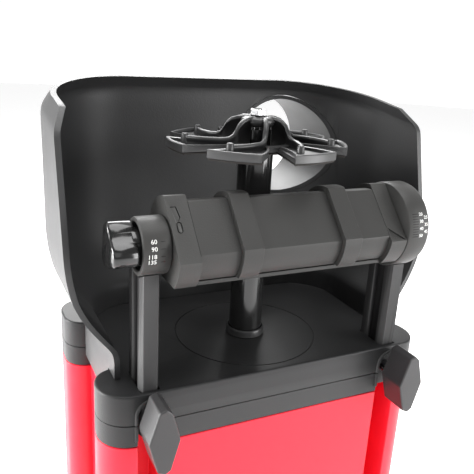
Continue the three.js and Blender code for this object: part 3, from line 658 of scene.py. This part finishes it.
def make_spindle():
    """The spindle, the collar at its foot and the nut on its end."""
    profile = [
        (0, TOP - 132), (4, TOP - 132), (4, TOP - 14), (7.45, TOP - 14), (7.45, TOP + 84), (6.9, TOP + 84.4),
        (6, TOP + 85.2), (6, TOP + 93.8), (2, TOP + 93.8), (2, TOP + 101.6), (1.6, TOP + 102), (0, TOP + 102),
    ]
    shaft = solid("spindle_shaft", on_spindle(turned(profile, 64)))
    finish_piece(shaft, "spindle", smooth=35)
    low, high = box_mm("spindle_seal")
    profile = [
        (7.85, low.z), (8.7, low.z), (8.7, high.z - 0.9), (8.4, high.z - 0.2), (8.1, high.z),
        (7.85, high.z - 0.1),
    ]
    seal = solid("spindle_collar", on_spindle(turned(profile, 64, closed=True)))
    finish_piece(seal, "spindle_seal", smooth=35)
    low, high = box_mm("arbor_nut")
    hexagon = arc(0, 0, 3.6, 0, 300, 5)
    nut = solid("disc_nut", on_spindle(prism(hexagon, low.z, high.z)))
    carve(nut, on_spindle(turned(rod_profile(2.2, low.z - 1, high.z + 1), 32)))
    finish_piece(nut, "arbor_nut", bevel=0.3, segments=2)


# ---------------------------------------------------------------- guide: posts, heads and rest
def make_posts():
    """The two rails, grooved along both sides and hollowed at the top for the round heads."""
    for side, head_r in (("left", 10.9), ("right", 18.2)):
        low, high = box_mm(f"post_{side}")
        middle = (low.x + high.x) / 2
        w = (high.x - low.x) / 2
        y0, y1 = low.y, high.y
        half = [(w - 1, y0), (w, y0 + 2.2), (w, y0 + 4.4), (w - 0.5, y0 + 4.7), (w - 1.8, y0 + 5.0),
                (w - 1.8, y1 - 5.2), (w - 0.5, y1 - 4.9), (w, y1 - 4.6), (w, y1 - 0.6), (w - 0.6, y1)]
        section = [*half, *[(-x, y) for x, y in reversed(half)]]
        post = solid(f"post_rail_{side}", prism([(middle + x, y) for x, y in section], low.z, REST_Z - 1))
        head_seat = on_rest_axis(turned(rod_profile(head_r + 0.3, middle - 8, middle + 8), 72))
        stud_hole = along_y(shifted(turned(rod_profile(2.1, y0 - 1, y0 + 4.2), 24), middle, CLAMP_Z))
        carve(post, head_seat, stud_hole)
        finish_piece(post, f"post_{side}", bevel=0.25, segments=2, limit=25, smooth=25)


REST_FACE_ANGLE = 137
REST_FACE_D = 11.6
BARREL_R = 15.9
COLLAR_R = 18.1
COLLAR_RISE = 2.4
CHEEK_R = 17.8
REST_BOTTOM = REST_Z - 11.2
AXLE_HOLE_R = 5.3
MARK_X = -46.5


def rest_outline(radius, face=REST_FACE_D):
    """The rest's section: a circle with one flat that faces up and towards the user."""
    half = math.degrees(math.acos(face / radius))
    return arc(0, 0, radius, REST_FACE_ANGLE + half, REST_FACE_ANGLE - half + 360, 72)


def rest_bar(x0, x1, radius, face=REST_FACE_D):
    """The rest's section, swept along X."""
    return on_rest_axis(prism(rest_outline(radius, face), x0, x1))


def axle_hole(x0, x1):
    return on_rest_axis(turned(rod_profile(AXLE_HOLE_R, x0, x1), 48))


def below(height):
    """A block that takes away all of the rest below a height."""
    return box_shape(-70, 70, REST_Y - 30, REST_Y + 30, REST_Z - 40, height)


def on_face(points, x, low, high):
    """A prism standing on the rest's flat: its outline is in x and distance down the flat."""
    angle = math.radians(REST_FACE_ANGLE)
    out = Vector((0, math.cos(angle), math.sin(angle)))
    down = Vector((0, -math.sin(angle), math.cos(angle)))
    verts, faces = prism(points, low, high)
    placed = [Vector((x + px, REST_Y, REST_Z)) + down * s + out * (REST_FACE_D + h) for px, s, h in verts]
    return [tuple(v) for v in placed], faces


def groove(path, width):
    """The outline of a line of even width along a path."""
    near, far = [], []
    for i, (x, s) in enumerate(path):
        along = (Vector(path[min(i + 1, len(path) - 1)]) - Vector(path[max(i - 1, 0)])).normalized()
        side = Vector((-along.y, along.x)) * (width / 2)
        near.append((x + side.x, s + side.y))
        far.append((x - side.x, s - side.y))
    return near + far[::-1]


def stadium(x, s, half_x, half_s):
    """A slot's outline with round ends, long down the flat."""
    straight = half_s - half_x
    return arc(x, s + straight, half_x, 0, 180, 10) + arc(x, s - straight, half_x, 180, 360, 10)


def make_bar():
    """The barrel and the two collars round it, all with the same flat and a level underside."""
    low, high = box_mm("rest_barrel")
    barrel = solid("rest_bar", rest_bar(low.x, high.x, BARREL_R))
    carve(barrel, axle_hole(-60, 60), below(REST_BOTTOM))
    finish_piece(barrel, "rest_barrel", bevel=0.25, segments=3, limit=18, smooth=20)
    for side in ("left", "right"):
        low, high = box_mm(f"rest_collar_{side}")
        collar = solid(f"rest_band_{side}", rest_bar(low.x, high.x, COLLAR_R, REST_FACE_D + COLLAR_RISE))
        seat = rest_bar(low.x - 1, high.x + 1, BARREL_R + 0.1, REST_FACE_D + 0.1)
        carve(collar, seat, below(REST_BOTTOM))
        finish_piece(collar, f"rest_collar_{side}", bevel=0.35, segments=3, limit=18, smooth=20)


def make_cradle():
    """The two cheeks and the plate that ties them together under the bar, with the cheeks' marks."""
    low, high = box_mm("rest_cradle")
    barrel_low, barrel_high = box_mm("rest_barrel")
    left, right = barrel_low.x, barrel_high.x
    y0, y1 = REST_Y - 11.6, REST_Y + 11.6
    plate = box_shape(left - 2, right + 2, y0, y1, REST_BOTTOM - 1.75, REST_BOTTOM - 0.3)
    cheeks = merged(rest_bar(low.x, left - 0.04, CHEEK_R), rest_bar(right + 0.04, high.x, CHEEK_R))
    cradle = carve(solid("rest_cheeks", cheeks), below(REST_BOTTOM - 1.8))
    carve(cradle, plate, operation="UNION")
    line = groove([(-2.2, -8.9), (-0.2, -8.9), (0.5, -4.6), (-0.3, -3.2)], 0.4)
    pointer = [(41.6, 7.2), (48.7, 13.2), (41.6, 11.0)]
    carve(cradle, axle_hole(-60, 60), on_face(line, MARK_X, -0.6, 1), on_face(pointer, 0, -0.6, 1))
    carve(cradle, on_face(stadium(-0.4, -0.6, 1.05, 2.3), MARK_X, -0.6, 1))
    finish_piece(cradle, "rest_cradle", bevel=0.2, segments=2, limit=18, smooth=20)
    pad = solid("cheek_pad", on_face(stadium(-0.4, -0.6, 0.7, 1.95), MARK_X, -0.8, -0.05))
    finish_piece(pad, "rest_cradle", replaces=[], bevel=0.15, segments=2)


def make_heads():
    """The scale ring on the left post and the angle dial on the right one."""
    low, high = box_mm("index_ring")
    r = (high.z - low.z) / 2
    profile = [
        (AXLE_HOLE_R, high.x), (r - 0.8, high.x), (r - 0.2, high.x - 0.3), (r, high.x - 1), (r, low.x + 0.8),
        (r - 0.25, low.x + 0.2), (r - 0.8, low.x), (r - 1.6, low.x), (r - 2.1, low.x + 0.5),
        (r - 2.3, low.x + 3.6), (AXLE_HOLE_R, low.x + 3.6),
    ]
    ring = solid("index_head", on_rest_axis(turned(profile, 96, closed=True)))
    finish_piece(ring, "index_ring", smooth=35)
    low, high = box_mm("angle_dial")
    r = (high.z - low.z) / 2
    profile = [
        (0, high.x - 0.8), (r - 3.4, high.x - 0.8), (r - 2.8, high.x - 0.1), (r - 2.2, high.x),
        (r - 1.5, high.x - 0.2), (r - 0.6, high.x - 0.9), (r, high.x - 2.2), (r, low.x + 0.8),
        (r - 0.3, low.x + 0.2), (r - 0.8, low.x), (AXLE_HOLE_R, low.x), (AXLE_HOLE_R, high.x - 3),
        (0, high.x - 3),
    ]
    dial = solid("angle_head", on_rest_axis(turned(profile, 128)))
    finish_piece(dial, "angle_dial", smooth=35)


def make_lock_knob():
    """A knob with three soft lobes and a round neck, on the left end of the shaft."""
    low, high = box_mm("lock_knob")
    lobes, lobe_at = 3, math.radians(192)
    points = []
    for i in range(96):
        a = 2 * math.pi * i / 96
        r = 8.2 + 1.6 * math.cos(lobes * (a - lobe_at))
        points.append((r * math.cos(a), r * math.sin(a)))
    stations = [
        (low.x, -0.9), (low.x + 0.35, -0.3), (low.x + 1.0, 0), (-62.6, 0), (-61.9, -0.4), (-61.6, -1.2),
    ]
    rows = []
    for x, grow in stations:
        size = 1 + grow / 10
        rows.append([(x, REST_Y + y * size, REST_Z + z * size) for y, z in points])
    knob = solid("lock_grip", loft(rows))
    carve(knob, on_rest_axis(turned(rod_profile(7.2, -63, high.x), 48)), operation="UNION")
    carve(knob, axle_hole(-68, -50))
    finish_piece(knob, "lock_knob", smooth=40)


def make_clamp_knobs():
    """The long blades that turn the clamps, each with a hole for its stud."""
    outline = [
        (0.7, 13.6), (2.9, 11.6), (6.1, 0), (2.6, -12.6), (0.4, -14), (-2.6, -12.6), (-6.1, 0), (-2.2, 12.6),
    ]
    for side in ("left", "right"):
        low, high = box_mm(f"clamp_knob_{side}")
        middle = (low.x + high.x) / 2
        placed = [(middle + px, CLAMP_Z + pz) for px, pz in outline]
        grip = solid(f"clamp_grip_{side}", along_y(prism(placed, low.y, high.y)))
        hole = turned(rod_profile(3.3, low.y + 4, high.y + 1), 32)
        carve(grip, along_y(shifted(hole, middle, CLAMP_Z)))
        finish_piece(grip, f"clamp_knob_{side}", bevel=0.7, segments=3, limit=25, smooth=20)


# ---------------------------------------------------------------- printed scales
PRINT_T = 0.12
BLOCK_FACES = [(0, 1, 2, 3), (7, 6, 5, 4), (0, 4, 5, 1), (1, 5, 6, 2), (2, 6, 7, 3), (3, 7, 4, 0)]


def wrapped_text(name, text, size, x, angle, radius, node):
    """Digits laid round a head from x on, with their middle at an angle: 0 is the rear, 90 the top."""
    curve = bpy.data.curves.new(name + "_curve", "FONT")
    curve.body = text
    curve.size = size
    curve.extrude = PRINT_T / 2
    curve.resolution_u = 3
    curve.align_x = "LEFT"
    curve.align_y = "CENTER"
    holder = bpy.data.objects.new(name + "_curve", curve)
    bpy.context.scene.collection.objects.link(holder)
    graph = bpy.context.evaluated_depsgraph_get()
    mesh = bpy.data.meshes.new_from_object(holder.evaluated_get(graph))
    bpy.data.objects.remove(holder)
    verts = []
    for v in mesh.vertices:
        r = radius + v.co.z
        a = math.radians(angle) - v.co.y / radius
        verts.append((x + v.co.x, REST_Y + r * math.cos(a), REST_Z + r * math.sin(a)))
    faces = [tuple(p.vertices) for p in mesh.polygons]
    bpy.data.meshes.remove(mesh)
    finish_piece(solid(name, (verts, faces)), node, replaces=[], material="print_white")


def tick_marks(name, marks, radius, node, width):
    """Short dark lines along X round a head: each mark is (x0, x1, angle)."""
    shapes = []
    for x0, x1, angle in marks:
        a = math.radians(angle)
        half = width / 2 / radius
        verts = []
        for x in (x0, x1):
            for da, rise in ((-half, -0.1), (half, -0.1), (half, 0.06), (-half, 0.06)):
                r = radius + rise
                verts.append((x, REST_Y + r * math.cos(a + da), REST_Z + r * math.sin(a + da)))
        shapes.append((verts, BLOCK_FACES))
    finish_piece(solid(name, merged(*shapes)), node, replaces=[], material="engraved")


def make_ring_scale():
    low, high = box_mm("index_ring")
    radius = (high.z - low.z) / 2
    numbers = {"60": 156, "90": 169.6, "118": 184, "135": 195}
    digit_width = 1.32
    for text, angle in numbers.items():
        x = high.x - 5.1 - digit_width * len(text)
        wrapped_text(f"ring_digits_{text}", text, 2.25, x, angle, radius, "index_ring")
    marks = [(high.x - 4.2, high.x - 2.6, angle) for angle in numbers.values()]
    tick_marks("ring_ticks", marks, radius, "index_ring", width=0.18)


def make_dial_scale():
    low, high = box_mm("angle_dial")
    radius = (high.z - low.z) / 2
    marks = [(low.x + 1.8, low.x + 4.6, 152.5 + 3.28 * i) for i in range(10)]
    tick_marks("dial_ticks", marks, radius, "angle_dial", width=0.3)
    rows = (("a", 4, 20, low.x + 5.2, 153, 9.4), ("b", 3, 25, low.x + 7.6, 157.5, 9.3))
    for row, count, first, x, angle, step in rows:
        for i in range(count):
            text = str(first + 10 * i)
            wrapped_text(f"dial_digits_{row}{i}", text, 1.9, x, angle + step * i, radius, "angle_dial")


# ---------------------------------------------------------------- switch and carried-over nodes
def make_switch_frame():
    low, high = box_mm("switch_bezel")
    z = (low.z + high.z) / 2
    bezel = solid("switch_frame", box_shape(low.x, high.x, low.y, FRONT - 0.3, low.z, high.z))
    carve(bezel, box_shape(-12, 12, FRONT - 1, high.y, z - 9.5, z + 9.5), operation="UNION")
    carve(bezel, box_shape(-7, 7, low.y - 5, high.y - 2, z - 9.1, z + 9.1))
    finish_piece(bezel, "switch_bezel", bevel=0.7, segments=3)


def soften_carried_nodes():
    """A small bevel on the nodes that keep their CAD mesh."""
    for obj in frame["nodes"].values():
        if not obj.hide_render:
            round_edges(obj, 0.35, 2)


make_body()
make_cap()
make_lips()
make_hood()
make_disc()
make_abrasive()
make_spindle()
make_posts()
make_bar()
make_cradle()
make_heads()
make_lock_knob()
make_clamp_knobs()
make_ring_scale()
make_dial_scale()
make_switch_frame()
soften_carried_nodes()


# ---------------------------------------------------------------- floor, light and camera
def make_floor():
    """A pale floor that gives a little light of its own, so that it stays near white under the part."""
    mesh = bpy.data.meshes.new("floor")
    bm = bmesh.new()
    bmesh.ops.create_circle(bm, cap_ends=True, segments=96, radius=4.0)
    bm.to_mesh(mesh)
    bm.free()
    floor = bpy.data.objects.new("floor", mesh)
    bpy.context.scene.collection.objects.link(floor)
    mat = bpy.data.materials.new("floor_white")
    mat.use_nodes = True
    shader = mat.node_tree.nodes["Principled BSDF"]
    shader.inputs["Base Color"].default_value = (0.94, 0.94, 0.94, 1)
    shader.inputs["Roughness"].default_value = 0.8
    shader.inputs["Emission Color"].default_value = (1, 1, 1, 1)
    shader.inputs["Emission Strength"].default_value = 0.36
    mesh.materials.append(mat)
    floor.location.z = -0.0002


def make_world():
    """White surroundings, dim towards the user and bright behind the part."""
    world = bpy.data.worlds.new("studio")
    bpy.context.scene.world = world
    world.use_nodes = True
    nodes, links = world.node_tree.nodes, world.node_tree.links
    background = nodes["Background"]
    background.inputs["Color"].default_value = (1, 1, 1, 1)
    coords = nodes.new("ShaderNodeTexCoord")
    split = nodes.new("ShaderNodeSeparateXYZ")
    links.new(coords.outputs["Generated"], split.inputs["Vector"])
    fade = nodes.new("ShaderNodeMapRange")
    fade.inputs["From Min"].default_value = -0.15
    fade.inputs["From Max"].default_value = 0.35
    fade.inputs["To Min"].default_value = 0.22
    fade.inputs["To Max"].default_value = 1.04
    links.new(split.outputs["Y"], fade.inputs["Value"])
    links.new(fade.outputs["Result"], background.inputs["Strength"])


def area_light(name, place, target, size, power):
    data = bpy.data.lights.new(name, "AREA")
    data.shape = "RECTANGLE"
    data.size, data.size_y = size
    data.energy = power
    light = bpy.data.objects.new(name, data)
    bpy.context.scene.collection.objects.link(light)
    light.location = place
    light.rotation_mode = "QUATERNION"
    light.rotation_quaternion = (Vector(target) - Vector(place)).to_track_quat("-Z", "Y")


# The photograph's viewpoint: yaw, pitch and roll in degrees, a place in the part's millimetres, a lens in mm
CAMERA_ANGLES = (26.3234, 17.7029, -3.2449)
CAMERA_PLACE = Vector((-119.6, -237.2 + SHIFT, 127.7 + TOP))
LENS = 46.25696


def make_camera():
    yaw, pitch, roll = (math.radians(v) for v in CAMERA_ANGLES)
    ahead = Vector((math.sin(yaw) * math.cos(pitch), math.cos(yaw) * math.cos(pitch), -math.sin(pitch)))
    right = Vector((math.cos(yaw), -math.sin(yaw), 0))
    down = -right.cross(ahead)
    image_x = math.cos(roll) * right + math.sin(roll) * down
    image_y = -math.sin(roll) * right + math.cos(roll) * down
    data = bpy.data.cameras.new("camera")
    data.sensor_width = 36
    data.lens = LENS
    data.clip_start, data.clip_end = 0.01, 50
    camera = bpy.data.objects.new("camera", data)
    bpy.context.scene.collection.objects.link(camera)
    turn = Matrix((image_x, -image_y, -ahead)).transposed()
    camera.matrix_world = Matrix.Translation(CAMERA_PLACE * MM) @ turn.to_4x4()
    bpy.context.scene.camera = camera


make_floor()
make_world()
area_light("top", (0.1, -0.1, 1.5), (0, 0, 0.25), (0.9, 0.9), 13)
area_light("rear_top", (0.25, 1.3, 1.1), (0, 0, 0.2), (1.2, 0.7), 28)
area_light("left_strip", (-1.0, 0.35, 0.3), (-0.05, 0, 0.22), (0.5, 0.7), 26)
area_light("left_high", (-1.2, -0.25, 0.78), (0.08, 0, 0.26), (0.4, 0.4), 6)
area_light("right_front", (0.8, -0.8, 0.35), (0, 0, 0.24), (0.6, 0.8), 14)
area_light("front_fill", (-0.4, -1.2, 1.0), (0, 0, 0.22), (0.9, 0.9), 2.5)
bpy.context.scene.view_settings.view_transform = "Standard"
make_camera()
